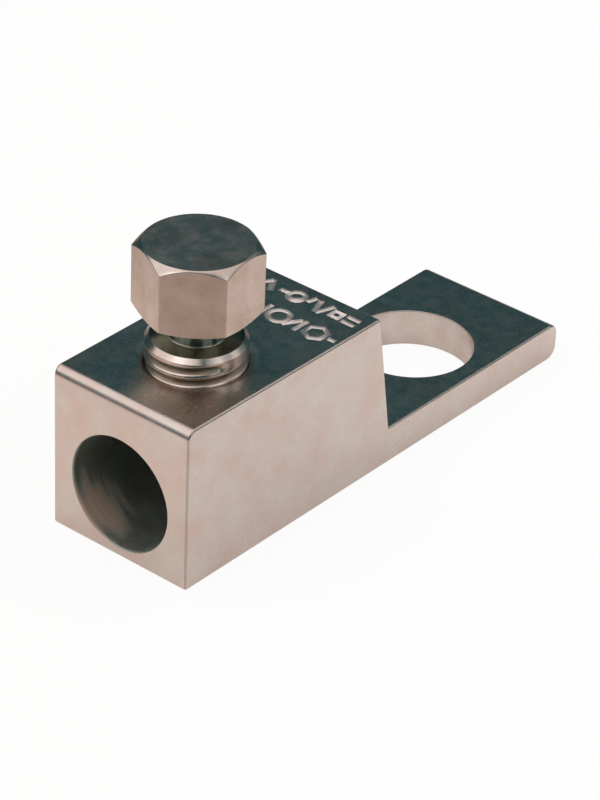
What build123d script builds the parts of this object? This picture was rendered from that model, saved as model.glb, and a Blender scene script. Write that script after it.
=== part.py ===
from build123d import *
import os
from math import radians, sqrt, tan

# Mechanical cable lug, in millimetres: one body and the one bolt that clamps the conductor in it.
# The origin is the centre of the palm's stud hole, on the face that seats on the busbar.
# X runs along the lug from the cable end to the palm's tip, Y across it, Z up.

# Lug body: a block and a thinner palm, cut to width from one long profile
body_width = 17.0
block_height = 17.7
block_length = 27.9        # along the block's top
back_rake = 2.3            # the block's back leans, so its foot reaches this much further
palm_thickness = 4.1
palm_length = 28.1         # from the foot of the block's back to the tip
mouth_top_radius = 1.0     # top edge over the cable's mouth
mouth_bottom_radius = 0.3
back_top_radius = 0.3
palm_tip_radius = 1.35     # both edges of the palm's tip
edge_break = 0.25          # tumbled edges along both sides

# Hole for the stud that bolts the palm down
stud_hole_diameter = 13.0
stud_to_tip = 14.0

# Blind bore for the stripped conductor, with the point that its drill leaves
bore_diameter = 12.0
bore_floor_wall = 1.1      # metal left under the bore
bore_depth = 22.5          # at full diameter
bore_point_angle = 118.0
bore_mouth_chamfer = 0.1

# Clamping bolt, square to the bore, with a head that twists off at the neck
bolt_from_mouth = 10.6     # from the cable face to the bolt's axis
thread_diameter = 10.0
tap_clearance = 0.06       # radial, between the shank and its hole
tap_countersink = 0.85     # how much wider the hole is at the top
tap_countersink_angle = 120.0
collar_standout = 2.45     # shank standing above the block's top as delivered
collar_chamfer = 0.45
tip_setback = 0.1          # from the bore's crown up to the bolt's tip
tip_chamfer = 0.8
neck_diameter = 5.2
neck_length = 2.75
neck_fillet = 0.2
head_across_flats = 11.0
head_height = 7.2
crown_diameter = 10.74     # flat top left by the head's turned chamfer
crown_angle = 39.0         # slope of that chamfer
underside_diameter = 10.8  # flat ring left by a flatter chamfer under the head
underside_angle = 22.0
head_turn = 6.0            # turn of the hexagon from the lug's length, in degrees

# Places along the lug
palm_tip_x = stud_to_tip
block_foot_x = palm_tip_x - palm_length
block_back_x = block_foot_x - back_rake
mouth_x = block_back_x - block_length
bolt_x = mouth_x + bolt_from_mouth

# Heights
bore_radius = bore_diameter / 2
bore_z = bore_floor_wall + bore_radius
crown_z = bore_z + bore_radius
tip_z = crown_z + tip_setback
collar_z = block_height + collar_standout
head_z = collar_z + neck_length
head_top_z = head_z + head_height

os.makedirs("parts", exist_ok=True)


# Lug body
with BuildPart() as lug_body:
    with BuildSketch(Plane.XZ.offset(-body_width / 2)):
        with BuildLine():
            FilletPolyline(
                (mouth_x, 0),
                (palm_tip_x, 0),
                (palm_tip_x, palm_thickness),
                (block_foot_x, palm_thickness),
                (block_back_x, block_height),
                (mouth_x, block_height),
                radius=[
                    mouth_bottom_radius,
                    palm_tip_radius,
                    palm_tip_radius,
                    0,
                    back_top_radius,
                    mouth_top_radius,
                ],
                close=True,
            )
        make_face()
    extrude(amount=body_width)
    side_faces = faces().sort_by(Axis.Y)
    fillet(side_faces[0].edges() + side_faces[-1].edges(), edge_break)

    # The stud hole goes straight through the palm
    with Locations((0, 0, palm_thickness)):
        Hole(stud_hole_diameter / 2, depth=palm_thickness)

    # The conductor bore ends inside the block, under the palm's level
    with BuildSketch(Plane.XZ):
        with BuildLine():
            Polyline(
                (mouth_x, bore_z),
                (mouth_x, bore_z + bore_radius + bore_mouth_chamfer),
                (mouth_x + bore_mouth_chamfer, bore_z + bore_radius),
                (mouth_x + bore_depth, bore_z + bore_radius),
                (mouth_x + bore_depth + bore_radius / tan(radians(bore_point_angle / 2)), bore_z),
                close=True,
            )
        make_face()
    revolve(axis=Axis((mouth_x, 0, bore_z), (1, 0, 0)), mode=Mode.SUBTRACT)

    # The bolt's hole opens into the bore from the block's top
    tap_radius = thread_diameter / 2 + tap_clearance
    with Locations(Plane((bolt_x, 0, block_height))):
        CounterSinkHole(
            tap_radius,
            tap_radius + tap_countersink,
            depth=block_height - bore_z,
            counter_sink_angle=tap_countersink_angle,
        )

lug_body.part.label = "lug_body"
export_step(lug_body.part, "parts/lug_body.step")


# Clamping bolt: hexagon head, shear neck and shank, turned and milled from one bar
bolt_section = Plane((bolt_x, 0, 0), x_dir=(1, 0, 0), z_dir=(0, -1, 0))
bolt_axis = Axis((bolt_x, 0, 0), (0, 0, 1))
shank_radius = thread_diameter / 2
neck_radius = neck_diameter / 2
crown_radius = crown_diameter / 2
head_corner_radius = head_across_flats / sqrt(3)
crown_slope = tan(radians(crown_angle))
underside_radius = underside_diameter / 2
underside_slope = tan(radians(underside_angle))
cutter_reach = head_corner_radius + 1.0   # the chamfers' cutters pass outside the corners

with BuildPart() as clamp_bolt:
    with BuildSketch(bolt_section):
        with BuildLine():
            Polyline(
                (0, tip_z),
                (shank_radius - tip_chamfer, tip_z),
                (shank_radius, tip_z + tip_chamfer),
                (shank_radius, collar_z - collar_chamfer),
                (shank_radius - collar_chamfer, collar_z),
                (neck_radius, collar_z),
                (neck_radius, head_z),
                (0, head_z),
                close=True,
            )
        make_face()
    revolve(axis=bolt_axis)

    with BuildSketch(Plane((bolt_x, 0, head_z))):
        RegularPolygon(
            head_across_flats / 2,
            side_count=6,
            major_radius=False,
            rotation=head_turn,
        )
    extrude(amount=head_height)

    neck_roots = edges().filter_by(GeomType.CIRCLE).filter_by(
        lambda edge: abs(edge.radius - neck_radius) < 0.01
    )
    fillet(neck_roots, neck_fillet)

    # The turned chamfers round the head's top and under it
    with BuildSketch(bolt_section):
        with BuildLine():
            Polyline(
                (crown_radius, head_top_z),
                (cutter_reach, head_top_z),
                (cutter_reach, head_top_z - (cutter_reach - crown_radius) * crown_slope),
                close=True,
            )
        make_face()
        with BuildLine():
            Polyline(
                (underside_radius, head_z),
                (cutter_reach, head_z),
                (cutter_reach, head_z + (cutter_reach - underside_radius) * underside_slope),
                close=True,
            )
        make_face()
    revolve(axis=bolt_axis, mode=Mode.SUBTRACT)

clamp_bolt.part.label = "clamp_bolt"
export_step(clamp_bolt.part, "parts/clamp_bolt.step")
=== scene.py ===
# %% [markdown]
# A mechanical cable lug: one block of tin-plated aluminium with a flat palm, and the one bolt
# that clamps the stripped conductor in its bore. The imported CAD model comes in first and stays
# the reference. Every new piece takes its sizes from it, so the looks and the mechanics agree.

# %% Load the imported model
from math import atan2, ceil, cos, degrees, floor, hypot, pi, radians, sin, tan

import bmesh
import bpy
from mathutils import Euler, Matrix, Vector


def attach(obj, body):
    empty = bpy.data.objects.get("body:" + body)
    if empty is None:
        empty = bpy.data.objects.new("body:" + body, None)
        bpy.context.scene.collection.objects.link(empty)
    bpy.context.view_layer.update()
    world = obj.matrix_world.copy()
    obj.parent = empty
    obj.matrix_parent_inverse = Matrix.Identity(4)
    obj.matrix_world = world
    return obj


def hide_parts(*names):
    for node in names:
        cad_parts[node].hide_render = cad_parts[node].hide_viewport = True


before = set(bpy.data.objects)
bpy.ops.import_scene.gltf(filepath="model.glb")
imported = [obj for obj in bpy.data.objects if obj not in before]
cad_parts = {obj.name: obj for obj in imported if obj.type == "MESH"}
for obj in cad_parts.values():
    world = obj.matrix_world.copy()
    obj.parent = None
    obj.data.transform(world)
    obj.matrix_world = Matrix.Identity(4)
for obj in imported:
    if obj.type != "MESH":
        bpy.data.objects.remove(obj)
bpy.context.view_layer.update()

# %% [markdown]
# The shapes below are drawn in millimetres, as on a workshop drawing, and made metres once at
# the end. The sizes repeat the CAD model's own: X runs from the cable's mouth to the palm's tip,
# Y across, Z up, and the origin is the stud hole's centre on the seating face. The places are
# worked out from the sizes, from the palm's tip back to the mouth and from the seat up.

# %% Sizes of the body in millimetres
MM = 0.001
width = 17.0
block_height = 17.7
block_length = 27.9
back_rake = 2.3
palm_thickness = 4.1
palm_length = 28.1
stud_to_tip = 14.0
stud_radius = 6.5
bore_radius = 6.0
bore_depth = 22.5
bore_floor_wall = 1.1

tip_x = stud_to_tip
back_foot_x = tip_x - palm_length
back_top_x = back_foot_x - back_rake
mouth_x = back_top_x - block_length
bore_z = bore_floor_wall + bore_radius
print("body", round(tip_x - mouth_x, 1), "mm long, bore's axis at", round(bore_z, 1), "mm")

# %% Sizes of the bolt in millimetres
bolt_from_mouth = 10.6
tip_above_bore = 0.1
collar_standout = 2.45
neck_length = 2.75
head_height = 7.2

bolt_x = mouth_x + bolt_from_mouth
bolt_tip_z = bore_z + bore_radius + tip_above_bore
collar_z = block_height + collar_standout
head_z = collar_z + neck_length
head_top_z = head_z + head_height
print("bolt from", round(bolt_tip_z, 2), "to", round(head_top_z, 2), "mm")

# %% [markdown]
# The camera is a long lens some way off, which is how small hardware is photographed: the far
# end of the lug is hardly smaller than the near end. It stands at the cable's end, off one
# corner, and looks down by about a third of a right angle.

# %% Camera
aim = Vector((-17.815, 0.0, 5.396)) * MM
camera_distance = 0.34304
camera_heading = 38.874
camera_fall = 32.419
camera_roll = 2.475

camera_data = bpy.data.cameras.new("camera")
camera_data.lens = 155.13
camera_data.sensor_width = 36.0
camera_data.clip_start = 0.01
camera = bpy.data.objects.new("camera", camera_data)
bpy.context.scene.collection.objects.link(camera)
look = Euler((radians(90 - camera_fall), 0, radians(camera_heading - 90))).to_matrix()
look = look @ Matrix.Rotation(radians(camera_roll), 3, "Z")
camera.matrix_world = Matrix.Translation(aim) @ look.to_4x4()
camera.matrix_world = camera.matrix_world @ Matrix.Translation((0, 0, camera_distance))
bpy.context.scene.camera = camera
print("camera at", [round(value * 1000, 1) for value in camera.matrix_world.translation], "mm")

# %% [markdown]
# A colour is written as it is seen on a screen, in sRGB, and the renderer wants it linear. One
# small function turns it, and one small function adds a node with its settings and its links.

# %% Colour and node helpers
def linear(code):
    """A six-figure sRGB colour as the linear numbers that a shader takes."""
    parts = [int(code[place:place + 2], 16) / 255 for place in (0, 2, 4)]
    return [c / 12.92 if c <= 0.04045 else ((c + 0.055) / 1.055) ** 2.4 for c in parts] + [1.0]


def add(tree, kind, settings=None, inputs=None):
    """One node. Settings are its own properties, and inputs are values or sockets to link."""
    node = tree.nodes.new(kind)
    for name, value in (settings or {}).items():
        setattr(node, name, value)
    for name, value in (inputs or {}).items():
        if isinstance(value, bpy.types.NodeSocket):
            tree.links.new(value, node.inputs[name])
        else:
            node.inputs[name].default_value = value
    return node


def new_tree(name):
    """An empty material and its node tree."""
    material = bpy.data.materials.new(name)
    material.use_nodes = True
    material.node_tree.nodes.clear()
    return material, material.node_tree


print("white is", linear("FFFFFF")[:3])

# %% [markdown]
# The floor is plain white paper, a little warm. The plated sides mirror mostly this paper, so they
# take its colour and darken toward the shadow at their foot. Its cast is one of three things that
# its material mixes, and the only one that every ray meets: warmer light on the left of the lug's
# near corner than on its right, painted into the paper's colour.

# %% Colour of the paper
cast_reach = 12.0

paper, tree = new_tree("white_paper")
here = add(tree, "ShaderNodeTexCoord").outputs["Object"]
from_corner = add(tree, "ShaderNodeVectorMath", {"operation": "SUBTRACT"}, {
    0: here,
    1: (mouth_x * MM, -width / 2 * MM, 0),
})
to_right = radians(camera_heading - 90)
rightward = add(tree, "ShaderNodeVectorMath", {"operation": "DOT_PRODUCT"}, {
    0: from_corner.outputs[0],
    1: (cos(to_right), sin(to_right), 0),
})
side = add(tree, "ShaderNodeMapRange", inputs={
    "Value": rightward.outputs["Value"],
    "From Min": -cast_reach * MM,
    "From Max": cast_reach * MM,
})
# Painted light: the paper's colour is warmer on the left, where warmer light falls.
cast = add(tree, "ShaderNodeMix", {"data_type": "RGBA"}, {
    0: side.outputs[0],
    6: linear("F0E3D9"),
    7: linear("F0EAE4"),
})
lit = add(tree, "ShaderNodeBsdfDiffuse", inputs={"Color": cast.outputs[2]})
print("the paper's cast changes over", 2 * cast_reach, "mm")

# %% [markdown]
# A studio photo is exposed until its paper is white. Lamps strong enough for that would burn
# the metal out, so the paper gives light of its own instead, to some rays only. The camera sees
# nearly all of it as that light, and the rest keeps a faint shadow under the lug. Mirror rays
# get a quarter of it.

# %% White light for the camera
camera_glow = 0.92
mirror_glow = 0.25

rays = add(tree, "ShaderNodeLightPath")
seen = add(tree, "ShaderNodeMath", {"operation": "MULTIPLY"}, {
    0: rays.outputs["Is Camera Ray"],
    1: camera_glow,
})
share = add(tree, "ShaderNodeMath", {"operation": "MULTIPLY_ADD"}, {
    0: rays.outputs["Is Glossy Ray"],
    1: mirror_glow,
    2: seen.outputs[0],
})
glow = add(tree, "ShaderNodeEmission", inputs={"Color": linear("FFFFFF"), "Strength": 1.0})
both = add(tree, "ShaderNodeMixShader", inputs={
    0: share.outputs[0],
    1: lit.outputs[0],
    2: glow.outputs[0],
})
print("the camera sees", round(camera_glow * 100), "percent of the paper as plain white")

# %% [markdown]
# The lamps light the paper well only near the lug. What the metal mirrors of it is darker
# farther out, and also toward the camera, which stands in the way of the light. A dark paper is
# mixed in for mirror rays by the larger of the two, so the background that the camera sees
# stays white.

# %% Darker paper for mirror rays
camera_side = 222.0
camera_side_from = 0.2
camera_side_to = 0.75
camera_side_shade = 0.38
lit_reach = 26.0
dark_reach = 80.0
far_shade = 0.7

way = add(tree, "ShaderNodeVectorMath", {"operation": "NORMALIZE"}, {0: from_corner.outputs[0]})
toward = add(tree, "ShaderNodeVectorMath", {"operation": "DOT_PRODUCT"}, {
    0: way.outputs[0],
    1: (cos(radians(camera_side)), sin(radians(camera_side)), 0),
})
wedge = add(tree, "ShaderNodeMapRange", inputs={
    "Value": toward.outputs["Value"],
    "From Min": camera_side_from,
    "From Max": camera_side_to,
    "To Max": camera_side_shade,
})
from_middle = add(tree, "ShaderNodeVectorMath", {"operation": "SUBTRACT"}, {
    0: here,
    1: ((mouth_x + tip_x) / 2 * MM, 0, 0),
})
either_side = add(tree, "ShaderNodeVectorMath", {"operation": "ABSOLUTE"}, {
    0: from_middle.outputs[0],
})
outside = add(tree, "ShaderNodeVectorMath", {"operation": "SUBTRACT"}, {
    0: either_side.outputs[0],
    1: ((tip_x - mouth_x) / 2 * MM, width / 2 * MM, 0),
})
outside = add(tree, "ShaderNodeVectorMath", {"operation": "MAXIMUM"}, {
    0: outside.outputs[0],
    1: (0, 0, 0),
})
far_out = add(tree, "ShaderNodeVectorMath", {"operation": "LENGTH"}, {0: outside.outputs[0]})
falling = add(tree, "ShaderNodeMapRange", inputs={
    "Value": far_out.outputs["Value"],
    "From Min": lit_reach * MM,
    "From Max": dark_reach * MM,
    "To Max": far_shade,
})
shade = add(tree, "ShaderNodeMath", {"operation": "MAXIMUM"}, {
    0: wedge.outputs[0],
    1: falling.outputs[0],
})
shade = add(tree, "ShaderNodeMath", {"operation": "MULTIPLY"}, {
    0: shade.outputs[0],
    1: rays.outputs["Is Glossy Ray"],
})
dark = add(tree, "ShaderNodeBsdfDiffuse", inputs={"Color": linear("4A3628")})
shaded = add(tree, "ShaderNodeMixShader", inputs={
    0: shade.outputs[0],
    1: both.outputs[0],
    2: dark.outputs[0],
})
add(tree, "ShaderNodeOutputMaterial", inputs={"Surface": shaded.outputs[0]})
print("mirrored paper is darkest from", dark_reach, "mm out")

# %% Lay the paper down
paper_half_side = 3.0

bm = bmesh.new()
bmesh.ops.create_grid(bm, x_segments=1, y_segments=1, size=paper_half_side)
ground_mesh = bpy.data.meshes.new("floor")
bm.to_mesh(ground_mesh)
bm.free()
ground_mesh.materials.append(paper)
ground = bpy.data.objects.new("floor", ground_mesh)
bpy.context.scene.collection.objects.link(ground)
print("floor", [round(side, 1) for side in ground.dimensions], "m")

# %% [markdown]
# A polished metal shows its surroundings, so the studio is half of its colour. Flat tops mirror
# what stands behind the lug, which is a dark room of a cold blue green. A plain world colour is
# enough for it, because nothing in the lug is a sharp mirror.

# %% Dark room
room = bpy.data.worlds.new("dark_room")
room.use_nodes = True
room.node_tree.nodes["Background"].inputs["Color"].default_value = linear("264C52")
room.node_tree.nodes["Background"].inputs["Strength"].default_value = 1.0
bpy.context.scene.world = room
print("room", room.name)

# %% [markdown]
# Rounded edges, the crown and the punched marks tilt away from the room and catch a strip of
# soft light that hangs overhead, brightest at its left end and dim at its far right. Two dim
# panels hang low on the left and the right, and a small lamp on the right lights the edges that
# face it. Two wings, each with a smaller panel over it, stand either side of the camera, and
# the gap between them is the dark stripe that the bolt's neck shows. One more lamp is for the
# paper alone: it is hidden from mirror rays, so the metal never shows it.

# %% Soft lamps
def soft_box(name, place, across, tall, brightness, level=False, mirrored=True, tint="FFFFFF"):
    """A flat lamp whose brightness is what a mirror shows of it, and 1 is white.

    Its place counts metres from the lug to the camera's right, away from the camera and up.
    It faces the lug, or straight down if it is level.
    """
    data = bpy.data.lights.new(name, "AREA")
    data.shape = "RECTANGLE"
    data.size = across
    data.size_y = tall
    data.energy = brightness * pi * across * tall
    data.color = linear(tint)[:3]
    lamp = bpy.data.objects.new(name, data)
    bpy.context.scene.collection.objects.link(lamp)
    lamp.visible_glossy = mirrored
    heading = Matrix.Rotation(radians(camera_heading - 90), 4, "Z")
    turn = Matrix() if level else Vector(place).to_track_quat("Z", "Y").to_matrix().to_4x4()
    lamp.matrix_world = Matrix.Translation(aim) @ heading @ Matrix.Translation(place) @ turn
    return lamp


warm_white = "FFF4F1"
# Each lamp's name, its place, how far it is across and tall in metres, and its brightness.
lamps = [
    soft_box("strip_left_end", (-0.63, 0.00, 0.60), 0.90, 0.78, 1.12, level=True,
             tint=warm_white),
    soft_box("strip_middle", (-0.055, -0.03, 0.60), 0.25, 0.84, 0.92, level=True,
             tint=warm_white),
    soft_box("strip_right_end", (0.305, 0.065, 0.60), 0.47, 0.65, 0.90, level=True,
             tint=warm_white),
    soft_box("strip_right_far", (0.67, -0.02, 0.60), 0.26, 0.50, 0.50, level=True),
    soft_box("left_panel", (-0.65, -0.15, 0.28), 0.55, 0.28, 0.50),
    soft_box("right_panel", (0.54, 0.27, 0.35), 0.50, 0.30, 0.22),
    soft_box("edge_light", (0.50, 0.08, 0.31), 0.20, 0.14, 0.80),
    soft_box("left_wing", (-0.42, -0.42, 0.36), 0.45, 0.36, 0.84),
    soft_box("left_wing_top", (-0.22, -0.32, 0.46), 0.36, 0.17, 1.00),
    soft_box("right_wing", (0.42, -0.42, 0.36), 0.45, 0.36, 0.80),
    soft_box("right_wing_top", (0.29, -0.26, 0.46), 0.24, 0.17, 0.62),
    soft_box("paper_light", (0.0, 0.0, 0.60), 1.60, 1.60, 1.05, level=True, mirrored=False),
]
print("lamps", [lamp.name for lamp in lamps])

# %% [markdown]
# Tin plate on aluminium is a warm, slightly pink silver. It is barrel plated: parts tumble
# against each other in the bath, so it isn't a mirror but a satin that varies from place to
# place, with a faint waviness, fine marks of the tool below it, and colour that drifts a
# little between pinker and greener patches. Noise of four sizes gives those four things, and
# one function makes every finish, because they differ only in those sizes and in colour.

# %% Plated metal
def per_mm(size):
    """The noise scale whose grains are about this many millimetres wide."""
    return 1000.0 / size


def plated(name, pale, warm, shine, patch, tool_lines, tool_depth, wave_depth, bare=1.0):
    """Barrel-plated tin, all lengths in millimetres.

    Pale and warm are the two colours of its patches, and patch is their width. Shine is its
    lowest and highest roughness. Tool_lines stretches the tool's marks along X, Y and Z.
    Bare is 1 for clean metal and less where a film of oxide dulls it.
    """
    smear = 1.4
    wave = 3.0
    material, tree = new_tree(name)
    place = add(tree, "ShaderNodeTexCoord").outputs["Object"]
    clouds = add(tree, "ShaderNodeTexNoise", inputs={
        "Vector": place,
        "Scale": per_mm(patch),
        "Detail": 3.0,
        "Roughness": 0.55,
    })
    drift = add(tree, "ShaderNodeMapRange", inputs={
        "Value": clouds.outputs[0],
        "From Min": 0.36,
        "From Max": 0.64,
    })
    colour = add(tree, "ShaderNodeMix", {"data_type": "RGBA"}, {
        0: drift.outputs[0],
        6: linear(pale),
        7: linear(warm),
    })
    smears = add(tree, "ShaderNodeTexNoise", inputs={
        "Vector": place,
        "Scale": per_mm(smear),
        "Detail": 2.0,
        "Roughness": 0.6,
    })
    dull = add(tree, "ShaderNodeMapRange", inputs={
        "Value": smears.outputs[0],
        "From Min": 0.3,
        "From Max": 0.7,
        "To Min": shine[0],
        "To Max": shine[1],
    })
    stretched = add(tree, "ShaderNodeMapping", inputs={
        "Vector": place,
        "Scale": [per_mm(length) for length in tool_lines],
    })
    marks = add(tree, "ShaderNodeTexNoise", inputs={
        "Vector": stretched.outputs[0],
        "Scale": 1.0,
        "Detail": 2.0,
    })
    waves = add(tree, "ShaderNodeTexNoise", inputs={
        "Vector": place,
        "Scale": per_mm(wave),
        "Detail": 1.0,
    })
    rolled = add(tree, "ShaderNodeBump", inputs={
        "Height": waves.outputs[0],
        "Strength": 1.0,
        "Distance": wave_depth * MM,
    })
    scored = add(tree, "ShaderNodeBump", inputs={
        "Height": marks.outputs[0],
        "Strength": 1.0,
        "Distance": tool_depth * MM,
        "Normal": rolled.outputs[0],
    })
    metal = add(tree, "ShaderNodeBsdfPrincipled", inputs={
        "Base Color": colour.outputs[2],
        "Metallic": bare,
        "Roughness": dull.outputs[0],
        "Normal": scored.outputs[0],
    })
    add(tree, "ShaderNodeOutputMaterial", inputs={"Surface": metal.outputs[0]})
    return material


# The block is sliced from an extruded bar, so its tool marks run across it, along Y. The real
# marks are finer than the render can show, so they are drawn a third of a millimetre apart.
block_tin = plated("tin_on_extruded_aluminium", pale="D3C8C0", warm="D2BDB5",
                   shine=(0.24, 0.32), patch=4.0,
                   tool_lines=(0.35, 14.0, 0.35), tool_depth=0.0007, wave_depth=0.005)
print("bar's finish", block_tin.name)

# %% [markdown]
# The block and the palm are one piece. The quickest true way is the real one: draw the bar's
# profile once, push it across to the width, round its long edges, and then drill it. Rounding
# comes before drilling, while every edge is still easy to find.

# %% Bar profile, pushed to width
def link(name, bm, materials):
    """A bmesh as an object, still in millimetres."""
    mesh = bpy.data.meshes.new(name)
    bm.to_mesh(mesh)
    bm.free()
    for material in materials:
        mesh.materials.append(material)
    piece = bpy.data.objects.new(name, mesh)
    bpy.context.scene.collection.objects.link(piece)
    return piece


bar = bmesh.new()
corners = [(mouth_x, 0), (tip_x, 0), (tip_x, palm_thickness), (back_foot_x, palm_thickness),
           (back_top_x, block_height), (mouth_x, block_height)]
profile = bar.faces.new([bar.verts.new((x, -width / 2, z)) for x, z in corners])
pushed = bmesh.ops.extrude_face_region(bar, geom=[profile])
moved = [part for part in pushed["geom"] if isinstance(part, bmesh.types.BMVert)]
bmesh.ops.translate(bar, verts=moved, vec=(0, width, 0))
bmesh.ops.recalc_face_normals(bar, faces=bar.faces)
print("bar has", len(bar.faces), "faces")

# %% [markdown]
# The mouth's top edge and the palm's tip are rounded on purpose, and every edge along the two
# sides has lost its sharpness in the barrel. The edges across the bar are rounded first, so
# that the small round along the sides can follow them.

# %% Round the bar's edges
mouth_top_radius = 1.0
mouth_bottom_radius = 0.3
back_top_radius = 0.3
palm_tip_radius = 1.35
edge_break = 0.25

# Two places that are nearer than a hair count as the same place, in millimetres.
hair = 0.001


def edges_at(bm, x, z, reach=0.01):
    """The edges that run across the bar at this place of its profile."""
    return [edge for edge in bm.edges
            if all(hypot(vert.co.x - x, vert.co.z - z) < reach for vert in edge.verts)]


def round_edges(bm, edges, radius, segments):
    """Rounds edges by a radius."""
    bmesh.ops.bevel(bm, geom=edges, offset=radius, offset_type="OFFSET", affect="EDGES",
                    segments=segments, profile=0.5, material=-1, clamp_overlap=True)


round_edges(bar, edges_at(bar, mouth_x, block_height), mouth_top_radius, 10)
round_edges(bar, edges_at(bar, mouth_x, 0), mouth_bottom_radius, 5)
round_edges(bar, edges_at(bar, back_top_x, block_height), back_top_radius, 5)
round_edges(bar, edges_at(bar, tip_x, palm_thickness), palm_tip_radius, 10)
round_edges(bar, edges_at(bar, tip_x, 0), palm_tip_radius, 10)
rims = [edge for edge in bar.edges if abs(edge.verts[0].co.y - edge.verts[1].co.y) < hair]
round_edges(bar, rims, edge_break, 5)
lug = link("lug_body_plated", bar, [block_tin])
print("rounded bar has", len(lug.data.polygons), "faces")

# %% [markdown]
# Drilled and reamed holes have rings of tool marks round them. The bath's current hardly
# reaches into a blind bore, so its plating is grey green, duller and a little oxidised. The
# holes get finishes of their own, which the cutters carry into them.

# %% Finishes of the holes
bore_bare = 0.9
bore_tin = plated("tin_in_drilled_bore", pale="A8B0A9", warm="A0A296",
                  shine=(0.40, 0.54), patch=3.0,
                  tool_lines=(0.5, 12.0, 12.0), tool_depth=0.05, wave_depth=0.004,
                  bare=bore_bare)
stud_hole_tin = plated("tin_in_bored_hole", pale="D6CAC2", warm="D0BDB4",
                       shine=(0.26, 0.36), patch=2.5,
                       tool_lines=(9.0, 9.0, 0.3), tool_depth=0.004, wave_depth=0.004)
print("hole finishes", bore_tin.name, stud_hole_tin.name)

# %% [markdown]
# A patch of light that the bore's wall catches, low on one side near the mouth, is painted into
# it: a brown that is barely metallic, so it takes more light. It could be a picture, but a
# distance from one point does it without one: the colour turns where that distance is short, and
# noise stretched along the drill's rings makes it ragged.

# %% Painted patch of light on the bore's wall
lit_patch_middle = (mouth_x + 1.0, 4.3, bore_z - 4.2)
lit_patch_core = 3.4
lit_patch_reach = 7.0
lit_patch_raggedness = 5.0
lit_patch_bare = 0.15

tree = bore_tin.node_tree
metal = next(node for node in tree.nodes if node.type == "BSDF_PRINCIPLED")
clean_colour = metal.inputs["Base Color"].links[0].from_socket
place = add(tree, "ShaderNodeTexCoord").outputs["Object"]
from_lit_patch = add(tree, "ShaderNodeVectorMath", {"operation": "SUBTRACT"}, {
    0: place,
    1: [length * MM for length in lit_patch_middle],
})
from_lit_patch = add(tree, "ShaderNodeVectorMath", {"operation": "LENGTH"}, {0: from_lit_patch.outputs[0]})
streaks = add(tree, "ShaderNodeMapping", inputs={
    "Vector": place,
    "Scale": (per_mm(0.9), per_mm(5.0), per_mm(5.0)),
})
streaks = add(tree, "ShaderNodeTexNoise", inputs={
    "Vector": streaks.outputs[0],
    "Scale": 1.0,
    "Detail": 3.0,
})
ragged = add(tree, "ShaderNodeMath", {"operation": "MULTIPLY_ADD"}, {
    0: streaks.outputs[0],
    1: lit_patch_raggedness * MM,
    2: from_lit_patch.outputs["Value"],
})
lit_patch = add(tree, "ShaderNodeMapRange", {"interpolation_type": "SMOOTHSTEP"}, {
    "Value": ragged.outputs[0],
    "From Min": lit_patch_core * MM,
    "From Max": lit_patch_reach * MM,
    "To Min": 1.0,
    "To Max": 0.0,
})
# Painted light: the wall turns brown in the patch and is barely metallic there, so it takes more
# light.
lit_patch_colour = add(tree, "ShaderNodeMix", {"data_type": "RGBA"}, {
    0: lit_patch.outputs[0],
    6: clean_colour,
    7: linear("AA9080"),
})
bareness = add(tree, "ShaderNodeMapRange", inputs={
    "Value": lit_patch.outputs[0],
    "To Min": bore_bare,
    "To Max": lit_patch_bare,
})
tree.links.new(lit_patch_colour.outputs[2], metal.inputs["Base Color"])
tree.links.new(bareness.outputs[0], metal.inputs["Metallic"])
print("stain's middle", [round(length, 1) for length in lit_patch_middle], "mm")

# %% [markdown]
# Each hole is a turned cutter: half of the hole's section, spun about its axis. The section
# carries the hole's own details, such as the bore's rounded mouth and the point that its drill
# leaves, so one cut makes them all. The wall keeps the cutter's material.

# %% Turned cutters
weld = 0.0005


def turned(section, steps=128):
    """A closed turned shape from (radius, height) points that start and end on the axis."""
    bm = bmesh.new()
    points = [bm.verts.new((radius, 0, height)) for radius, height in section]
    for first, second in zip(points, points[1:]):
        bm.edges.new((first, second))
    bmesh.ops.spin(bm, geom=bm.verts[:] + bm.edges[:], cent=(0, 0, 0), axis=(0, 0, 1),
                   dvec=(0, 0, 0), angle=2 * pi, steps=steps, use_merge=True)
    bmesh.ops.remove_doubles(bm, verts=bm.verts, dist=weld)
    bmesh.ops.recalc_face_normals(bm, faces=bm.faces)
    return bm


def combine(base, other, operation):
    """Cuts other from base, joins them or keeps what they share, and deletes other."""
    change = base.modifiers.new("change", "BOOLEAN")
    change.object = other
    change.operation = operation
    change.solver = "EXACT"
    # The stamp's strokes cross each other, which the solver must be told.
    change.use_self = operation == "DIFFERENCE"
    change.material_mode = "TRANSFER"
    bpy.context.view_layer.update()
    result = base.evaluated_get(bpy.context.evaluated_depsgraph_get())
    mesh = bpy.data.meshes.new_from_object(result)
    base.modifiers.clear()
    base.data = mesh
    bpy.data.objects.remove(other)


print("cutters weld points nearer than", weld, "mm")

# %% Drill the bore and the stud hole
# Each rim is drawn from its face inwards: how much wider than the hole, and how deep.
drill_point_angle = 118.0
past_face = 1.0
bore_rim = [(0.12, 0), (0.05, 0.09), (0.01, 0.2), (0, 0.3)]
stud_rim = [(0.12, 0), (0.03, 0.05), (0, 0.14)]

drill_point = bore_radius / tan(radians(drill_point_angle / 2))
bore_flare = bore_radius + bore_rim[0][0] + past_face
bore = turned([(0, -past_face), (bore_flare, -past_face)]
              + [(bore_radius + wider, deep) for wider, deep in bore_rim]
              + [(bore_radius, bore_depth), (0, bore_depth + drill_point)])
bmesh.ops.rotate(bore, cent=(0, 0, 0), matrix=Matrix.Rotation(radians(90), 3, "Y"),
                 verts=bore.verts)
bmesh.ops.translate(bore, verts=bore.verts, vec=(mouth_x, 0, bore_z))
combine(lug, link("bore_cutter", bore, [bore_tin]), "DIFFERENCE")

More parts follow.
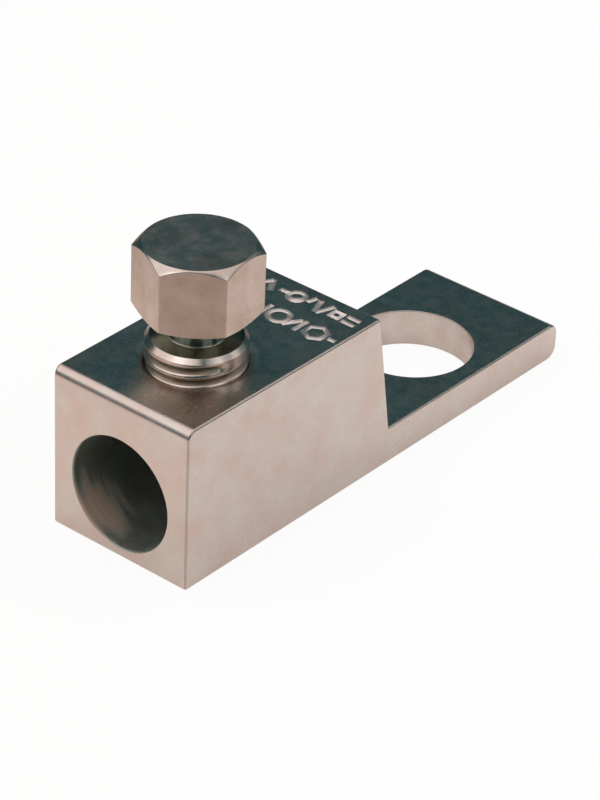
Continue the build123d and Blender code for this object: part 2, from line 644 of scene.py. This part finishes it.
stud_flare = stud_radius + stud_rim[0][0] + past_face
stud_foot = [(0, -past_face), (stud_flare, -past_face)]
stud_foot += [(stud_radius + wider, deep) for wider, deep in stud_rim]
stud_top = [(radius, palm_thickness - height) for radius, height in reversed(stud_foot)]
combine(lug, link("stud_cutter", turned(stud_foot + stud_top), [stud_hole_tin]), "DIFFERENCE")
print("drilled body has", len(lug.data.polygons), "faces")

# %% Drill the bolt's hole
tap_radius = 5.06
sink = 0.85
sink_angle = 120.0

sink_depth = sink / tan(radians(sink_angle / 2))
tap = turned([(0, bore_z), (tap_radius, bore_z), (tap_radius, block_height - sink_depth),
              (tap_radius + sink, block_height),
              (tap_radius + 2 * sink, block_height + sink_depth), (0, block_height + sink_depth)])
bmesh.ops.translate(tap, verts=tap.verts, vec=(bolt_x, 0, 0))
combine(lug, link("tap_cutter", tap, [stud_hole_tin]), "DIFFERENCE")
print("tapped body has", len(lug.data.polygons), "faces")

# %% [markdown]
# The top is stamped near its back edge with plain signs that could be on any such lug. A punch
# leaves a groove with sloped walls, so each stroke is a triangular section, either pushed along
# or spun round. All strokes join in one stamp, so a single cut makes them. The fresh rough
# metal at the bottom of a mark scatters the lamps' light, so the marks look nearly white.

# %% Punched strokes
punched_tin = plated("tin_in_punched_mark", pale="EEE3DD", warm="E8D8D0",
                     shine=(0.36, 0.5), patch=1.0,
                     tool_lines=(0.2, 0.2, 0.2), tool_depth=0.006, wave_depth=0.004)
groove_half_width = 0.33
groove_depth = 0.2
above_top = 0.05
end_slope = 0.3
stamp = bmesh.new()


def groove_section(bm, x):
    """The punch's triangular section, across X, with its point below the surface."""
    spread = groove_half_width * (1 + above_top / groove_depth)
    points = [(x - spread, above_top), (x + spread, above_top), (x, -groove_depth)]
    return bm.faces.new([bm.verts.new((across, 0, height)) for across, height in points])


def punch(bm, x, y, turn):
    """Adds a finished stroke to the stamp."""
    bmesh.ops.rotate(bm, cent=(0, 0, 0), matrix=Matrix.Rotation(radians(turn), 3, "Z"),
                     verts=bm.verts)
    bmesh.ops.translate(bm, verts=bm.verts, vec=(x, y, block_height))
    bmesh.ops.recalc_face_normals(bm, faces=bm.faces)
    stroke = bpy.data.meshes.new("stroke")
    bm.to_mesh(stroke)
    bm.free()
    stamp.from_mesh(stroke)
    bpy.data.meshes.remove(stroke)


def bar_mark(x, y, length, turn=0):
    """A straight stroke, which points along Y before it is turned. Its ends slope inwards."""
    bm = bmesh.new()
    section = groove_section(bm, 0)
    pushed = bmesh.ops.extrude_face_region(bm, geom=[section])
    ends = [part for part in pushed["geom"] if isinstance(part, bmesh.types.BMVert)]
    bmesh.ops.translate(bm, verts=ends, vec=(0, length, 0))
    bmesh.ops.translate(bm, verts=bm.verts, vec=(0, -length / 2, 0))
    for vert in bm.verts:
        if vert.co.z < 0:
            vert.co.y *= 1 - end_slope / length
    punch(bm, x, y, turn)


def ring_mark(x, y, radius, sides, turn=0):
    """A closed stroke: many sides make a ring, six a hexagon, four a square."""
    bm = bmesh.new()
    section = groove_section(bm, radius)
    edges = section.edges[:]
    bmesh.ops.delete(bm, geom=[section], context="FACES_ONLY")
    bmesh.ops.spin(bm, geom=bm.verts[:] + edges, cent=(0, 0, 0), axis=(0, 0, 1),
                   dvec=(0, 0, 0), angle=2 * pi, steps=sides, use_merge=True)
    bmesh.ops.remove_doubles(bm, verts=bm.verts, dist=weld)
    punch(bm, x, y, turn)


print("a stroke is", 2 * groove_half_width, "mm wide and", groove_depth, "mm deep")

# %% Front row of marks: a small and a large conductor, tally bars and the key's hexagon
front_row = mouth_x + 21.6
ring_mark(front_row, 6.6, 0.7, 20)
bar_mark(front_row, 4.9, 1.1)
ring_mark(front_row, 2.8, 1.1, 28)
bar_mark(front_row, 0.9, 2.3, 90)
ring_mark(front_row, -0.9, 1.1, 28)
bar_mark(front_row, -2.6, 2.3, 60)
bar_mark(front_row, -3.6, 2.3, 90)
ring_mark(front_row, -5.5, 1.2, 6)
bar_mark(front_row, -7.45, 1.0)
print("front row at", round(front_row, 2), "mm")

# %% Back row of marks: a triangle, two chevrons, a ring, bars and a square
back_row = mouth_x + 25.55
ring_mark(back_row, 6.5, 0.9, 3, 60)
bar_mark(back_row, 4.4, 2.2, 60)
bar_mark(back_row, 3.4, 2.2, 120)
bar_mark(back_row, 1.8, 1.1)
ring_mark(back_row, 0.2, 0.85, 24)
bar_mark(back_row + 0.5, -1.35, 1.3, 75)
bar_mark(back_row, -2.5, 2.3, 110)
bar_mark(back_row, -3.4, 2.3, 70)
ring_mark(back_row, -4.85, 0.7, 4, 45)
bar_mark(back_row - 0.5, -6.6, 1.7)
bar_mark(back_row + 0.5, -6.6, 1.7)

combine(lug, link("stamp", stamp, [punched_tin]), "DIFFERENCE")
print("stamped body has", len(lug.data.polygons), "faces")

# %% [markdown]
# The bolt is turned, so its tool marks run round it, and its colour is a little browner than the
# block's. Most of its finishes follow how each face was made, and some carry painted light and
# shade. The grooves are duller, and painted browner as painted shade. The hexagon's flats are as
# the bar was drawn, and the head's top was faced on the lathe and is a little rougher. The neck is
# painted grey and the collar's top beside it a darker grey, as painted shade under the head. The
# head's underside is painted palest, as painted light for what the collar's top and the block's
# top mirror of it.

# %% Finishes of the bolt
bolt_tin = plated("tin_on_turned_bolt", pale="D0C4BB", warm="C7B4AA",
                  shine=(0.19, 0.27), patch=3.5,
                  tool_lines=(8.0, 8.0, 0.3), tool_depth=0.0012, wave_depth=0.005)
# Painted shade: the grooves' colours are browner and darker than the crests'.
groove_shade_tin = plated("thread_groove_painted_shade", pale="B5A593", warm="A1907E",
                    shine=(0.30, 0.44), patch=2.0,
                    tool_lines=(8.0, 8.0, 0.3), tool_depth=0.0012, wave_depth=0.003)
drawn_tin = plated("tin_on_drawn_flats", pale="CBB5AA", warm="BDA598",
                   shine=(0.21, 0.30), patch=3.5,
                   tool_lines=(8.0, 8.0, 0.6), tool_depth=0.0010, wave_depth=0.005)
faced_tin = plated("tin_on_faced_top", pale="CDC2BB", warm="C3B1A9",
                   shine=(0.28, 0.40), patch=3.5,
                   tool_lines=(1.2, 1.2, 1.2), tool_depth=0.003, wave_depth=0.006)
# Painted shade: the neck's colours are greyer and darker than the rest of the bolt's.
neck_shade_tin = plated("neck_painted_shade", pale="BCBCB2", warm="B0B0A4",
                  shine=(0.16, 0.24), patch=2.0,
                  tool_lines=(8.0, 8.0, 0.3), tool_depth=0.0012, wave_depth=0.003)
# Painted shade: the collar's top beside the neck is painted a dark grey.
collar_shade_tin = plated("collar_top_painted_shade", pale="7E7F76", warm="6F7067",
                    shine=(0.16, 0.24), patch=2.0,
                    tool_lines=(1.2, 1.2, 1.2), tool_depth=0.002, wave_depth=0.003)
# Painted light: the head's underside is painted palest, so the faces that mirror it come out
# brighter.
underside_light_tin = plated("underside_painted_light", pale="EAE6D8", warm="E2DECE",
                  shine=(0.20, 0.30), patch=2.0,
                  tool_lines=(1.2, 1.2, 1.2), tool_depth=0.002, wave_depth=0.003)
bolt_finishes = [bolt_tin, groove_shade_tin, faced_tin, drawn_tin, neck_shade_tin, collar_shade_tin, underside_light_tin]
print("bolt's finishes", [tin.name for tin in bolt_finishes])

# %% [markdown]
# The bolt's shank carries a right-hand thread. One pitch of the thread's section is spun while
# it climbs, so the end of each turn meets the start of the next, and merging the doubles welds
# them. The section is drawn from the crest's middle to the root and then mirrored.

# %% Threaded shank
pitch = 1.25
thread_radius = 5.0
steps_per_turn = 96

crest_to_root = [(0, 0), (0.08, 0.01), (0.15, 0.04), (0.21, 0.09), (0.26, 0.155),
                 (0.535, 0.63), (0.585, 0.68)]
root_to_crest = [(pitch - rise, depth) for rise, depth in reversed(crest_to_root)]
first_z = bolt_tip_z - 2 * pitch
turns = ceil((collar_z - first_z) / pitch) + 2
thread = bmesh.new()
points = [thread.verts.new((thread_radius - depth, 0, first_z + rise))
          for rise, depth in crest_to_root + root_to_crest]
for first, second in zip(points, points[1:]):
    thread.edges.new((first, second))
bmesh.ops.spin(thread, geom=thread.verts[:] + thread.edges[:], cent=(0, 0, 0), axis=(0, 0, 1),
               dvec=(0, 0, pitch / steps_per_turn), angle=2 * pi * turns,
               steps=steps_per_turn * turns)
bmesh.ops.remove_doubles(thread, verts=thread.verts, dist=hair)
print("thread turns", turns, "faces", len(thread.faces))

# %% [markdown]
# A crest of the thread passes crest_z at crest_heading, which fixes how far the whole helix is
# turned. Near the collar the die runs out: the groove fades to a plain land over part of a
# turn. So each point finds how far it is along the last groove, and moves out by that share.

# %% Line the thread up and let it run out
crest_heading = 218.9
crest_z = 18.3
run_out_heading = 266.0
run_out_angle = 48.0
# A point that lies exactly on a crest counts with the turn that starts there.
tie_break = 0.0001

climb = (crest_z - first_z) / pitch * 360
bmesh.ops.rotate(thread, cent=(0, 0, 0), verts=thread.verts,
                 matrix=Matrix.Rotation(radians(crest_heading - climb), 3, "Z"))
last_groove = run_out_heading - crest_heading
for vert in thread.verts:
    heading = (degrees(atan2(vert.co.y, vert.co.x)) - crest_heading) % 360
    turn = floor((vert.co.z - crest_z) / pitch - heading / 360 + tie_break)
    share = (last_groove - heading - 360 * turn) / run_out_angle
    share = max(0.0, min(1.0, share))
    share = share * share * (3 - 2 * share)
    radius = hypot(vert.co.x, vert.co.y)
    wanted = thread_radius - (thread_radius - radius) * share
    vert.co.x *= wanted / radius
    vert.co.y *= wanted / radius
print("thread runs out at", run_out_heading, "degrees")

# %% [markdown]
# Two flat cuts leave clean outlines to cap. A turned envelope, a little wider than the thread,
# then chamfers both ends and leaves the thread itself alone.

# %% Trim the shank to length
overlength = 0.5
cut_reach = 0.0001
spare = 0.3
tip_chamfer = 0.8
collar_chamfer = 0.45

for height, outer in ((bolt_tip_z - overlength, False), (collar_z + overlength, True)):
    bmesh.ops.bisect_plane(thread, geom=thread.verts[:] + thread.edges[:] + thread.faces[:],
                           plane_co=(0, 0, height), plane_no=(0, 0, 1), dist=cut_reach,
                           clear_inner=not outer, clear_outer=outer)
    rim = [edge for edge in thread.edges
           if edge.is_boundary and all(abs(vert.co.z - height) < hair for vert in edge.verts)]
    bmesh.ops.edgeloop_fill(thread, edges=rim)
bmesh.ops.recalc_face_normals(thread, faces=thread.faces)
bolt = link("clamp_bolt_plated", thread, bolt_finishes)

envelope = turned([(0, bolt_tip_z), (thread_radius - tip_chamfer, bolt_tip_z),
                   (thread_radius + spare, bolt_tip_z + tip_chamfer + spare),
                   (thread_radius + spare, collar_z - collar_chamfer - spare),
                   (thread_radius - collar_chamfer, collar_z), (0, collar_z)])
combine(bolt, link("envelope", envelope, [bolt_tin]), "INTERSECT")
print("shank has", len(bolt.data.polygons), "faces")

# %% [markdown]
# Between the shank and the head is a thin neck. It is made to shear: when the bolt is tight
# enough, the head twists off there. A small round at each end of it is left by the turning
# tool. The neck reaches into the collar and into the head, so that the joins are clean.

# %% Shear neck
neck_radius = 2.6
neck_fillet = 0.2
neck_overlap = 1.0


def arc(centre, radius, start, end, steps=6):
    """Points along a quarter turn of a section, as (radius, height)."""
    swing = [radians(start + (end - start) * step / steps) for step in range(steps + 1)]
    return [(centre[0] + radius * cos(a), centre[1] + radius * sin(a)) for a in swing]


root = neck_radius + neck_fillet
neck = turned([(0, collar_z - neck_overlap), (root, collar_z - neck_overlap)]
              + arc((root, collar_z + neck_fillet), neck_fillet, 270, 180)
              + arc((root, head_z - neck_fillet), neck_fillet, 180, 90)
              + [(root, head_z + neck_overlap), (0, head_z + neck_overlap)], steps=96)
combine(bolt, link("neck", neck, [bolt_tin]), "UNION")
print("shank and neck have", len(bolt.data.polygons), "faces")

# %% [markdown]
# The head is a hexagon whose corners were turned off at the top, which leaves a curved edge on
# each flat. A boolean with a cone could cut it too, but a few columns of even faces shade more
# cleanly. So the hexagon is made first, its flats are divided into columns, and each column's
# ends are then moved onto the cones.

# %% Hexagon head
across_flats = 11.0
corner_break = 0.14
flat_columns = 16

hexagon = bmesh.new()
corner_radius = across_flats / 2 / cos(radians(30))
bmesh.ops.create_cone(hexagon, cap_ends=True, segments=6, radius1=corner_radius,
                      radius2=corner_radius, depth=head_height)
bmesh.ops.translate(hexagon, verts=hexagon.verts, vec=(0, 0, head_z + head_height / 2))
uprights = [edge for edge in hexagon.edges
            if abs(edge.verts[0].co.z - edge.verts[1].co.z) > hair]
round_edges(hexagon, uprights, corner_break, 3)
flat_ends = [edge for edge in hexagon.edges
             if abs(edge.verts[0].co.z - edge.verts[1].co.z) < hair
             and edge.calc_length() > 2 * corner_break]
bmesh.ops.subdivide_edges(hexagon, edges=flat_ends, cuts=flat_columns - 1, use_grid_fill=True)
print("head has", len(hexagon.faces), "faces before it is turned")

# %% Turn the chamfers round the head's top and under it
crown_radius = 5.37
crown_angle = 39.0
underside_radius = 5.4
underside_angle = 22.0
worn_radius = 0.05
head_turn = 6.0


def turn_chamfer(bm, level, radius, slope):
    """Lowers the hexagon's end onto a cone, and draws its rim in to a round flat."""
    ring = [edge for edge in bm.edges
            if all(abs(vert.co.z - level) < hair for vert in edge.verts)]
    cap = [face for face in bm.faces if all(edge in ring for edge in face.edges)]
    for vert in set(vert for edge in ring for vert in edge.verts):
        vert.co.z = level - (hypot(vert.co.x, vert.co.y) - radius) * slope
    bmesh.ops.delete(bm, geom=cap, context="FACES_ONLY")
    drawn = bmesh.ops.extrude_edge_only(bm, edges=ring)["geom"]
    for vert in [part for part in drawn if isinstance(part, bmesh.types.BMVert)]:
        shrink = radius / hypot(vert.co.x, vert.co.y)
        vert.co = (vert.co.x * shrink, vert.co.y * shrink, level)
    rim = [part for part in drawn if isinstance(part, bmesh.types.BMEdge)
           and all(abs(vert.co.z - level) < hair for vert in part.verts)]
    bmesh.ops.edgeloop_fill(bm, edges=rim)
    return ring + rim


worn = turn_chamfer(hexagon, head_top_z, crown_radius, tan(radians(crown_angle)))
worn += turn_chamfer(hexagon, head_z, underside_radius, -tan(radians(underside_angle)))
bmesh.ops.recalc_face_normals(hexagon, faces=hexagon.faces)
round_edges(hexagon, worn, worn_radius, 2)
# The hexagon starts with a corner along X, and 30 degrees bring a flat there.
bmesh.ops.rotate(hexagon, cent=(0, 0, 0), matrix=Matrix.Rotation(radians(head_turn + 30), 3, "Z"),
                 verts=hexagon.verts)
combine(bolt, link("head", hexagon, [bolt_tin]), "UNION")
print("bolt has", len(bolt.data.polygons), "faces")

# %% [markdown]
# The bolt is one shell by now, so each face gets its finish by where it lies: the faced top, the
# drawn flats, the underside of the head, the collar's top, the neck, and the thread's grooves.
# What is left, such as the crests and the chamfers, stays plain turned tin.

# %% Give the bolt's faces their finishes
slots = {material.name: slot for slot, material in enumerate(bolt.data.materials)}
near = 0.01
above_underside = 0.1
upright = 0.05
facing_up = 0.9
facing_down = -0.3
crest_depth = 0.15
shank_foot = bolt_tip_z + tip_chamfer
shank_top = collar_z - collar_chamfer
# The painted shade and painted light above go onto their faces here.
for face in bolt.data.polygons:
    spots = [bolt.data.vertices[index].co for index in face.vertices]
    reach = sum(hypot(spot.x, spot.y) for spot in spots) / len(spots)
    if face.center.z > head_top_z - near:
        face.material_index = slots[faced_tin.name]
    elif face.center.z > head_z + above_underside and abs(face.normal.z) < upright:
        face.material_index = slots[drawn_tin.name]
    elif face.center.z > head_z - near and face.normal.z < facing_down:
        face.material_index = slots[underside_light_tin.name]
    elif abs(face.center.z - collar_z) < near and face.normal.z > facing_up:
        face.material_index = slots[collar_shade_tin.name]
    elif collar_z < face.center.z < head_z and reach < thread_radius - 1:
        face.material_index = slots[neck_shade_tin.name]
    elif shank_foot < face.center.z < shank_top and reach < thread_radius - crest_depth:
        face.material_index = slots[groove_shade_tin.name]
bolt.data.transform(Matrix.Translation((bolt_x, 0, 0)))
print("finishes on the bolt", sorted(slots))

# %% [markdown]
# Both pieces are now closed shells in millimetres. Each becomes metres, gets smooth faces with
# creases only where the metal really turns a corner, and normals weighted by face size, so that
# large flats stay flat and only the small rounds between them carry the highlight.

# %% Finish the pieces
crease_angle = 40.0


def finish(piece, body, node):
    """Makes the piece metres and smooth, and hangs it on its body in place of the CAD solid."""
    bm = bmesh.new()
    bm.from_mesh(piece.data)
    bmesh.ops.remove_doubles(bm, verts=bm.verts, dist=weld)
    bmesh.ops.scale(bm, vec=(MM, MM, MM), verts=bm.verts)
    open_edges = sum(1 for edge in bm.edges if not edge.is_manifold)
    bm.to_mesh(piece.data)
    bm.free()
    piece.data.shade_smooth()
    piece.data.set_sharp_from_angle(angle=radians(crease_angle))
    weighted = piece.modifiers.new("weighted", "WEIGHTED_NORMAL")
    weighted.keep_sharp = True
    weighted.weight = 50
    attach(piece, body)
    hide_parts(node)
    piece.data.calc_loop_triangles()
    print(piece.name, "open edges", open_edges, "triangles", len(piece.data.loop_triangles))


finish(lug, "lug", "lug_body")
finish(bolt, "bolt", "clamp_bolt")

# %% [markdown]
# The Standard view shows each colour as its sRGB code says, with no film curve over it, so the
# paper stays white.

# %% View settings
bpy.context.scene.view_settings.view_transform = "Standard"
